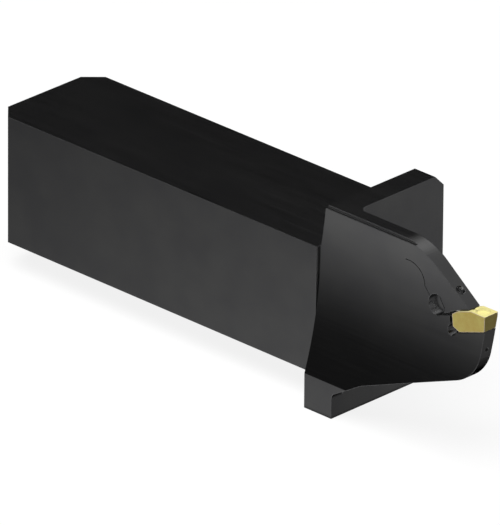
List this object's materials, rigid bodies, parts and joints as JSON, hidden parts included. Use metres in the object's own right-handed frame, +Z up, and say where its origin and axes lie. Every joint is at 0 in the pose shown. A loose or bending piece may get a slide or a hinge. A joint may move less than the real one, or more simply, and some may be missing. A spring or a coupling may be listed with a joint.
{
  "type": "face grooving tool holder",
  "caption": "Lathe tool holder: square shank, taller cross plate and a thin curved blade whose spring jaw grips a narrow grooving insert.",
  "frame": {"origin": "centre of the shank's seat face, which is the underside of the square shank", "axes": "+X along the shank towards the cutting edge, +Y across it away from the blade's side, +Z up; the cutting edge is level with the shank's top"},
  "size_m": [0.1223, 0.0283, 0.0389],
  "materials": {
    "blackened_steel": "ground, then blackened, satin",
    "coated_carbide": "gold nitride coating, satin",
    "plug_steel": "black oxide, matte"
  },
  "bodies": {
    "root": {"tool_holder": "blackened_steel", "cutting_insert": "coated_carbide", "inlet_plug": "plug_steel", "cross_plug": "plug_steel", "riser_plug": "plug_steel", "feed_plug": "plug_steel"}
  },
  "joints": []
}
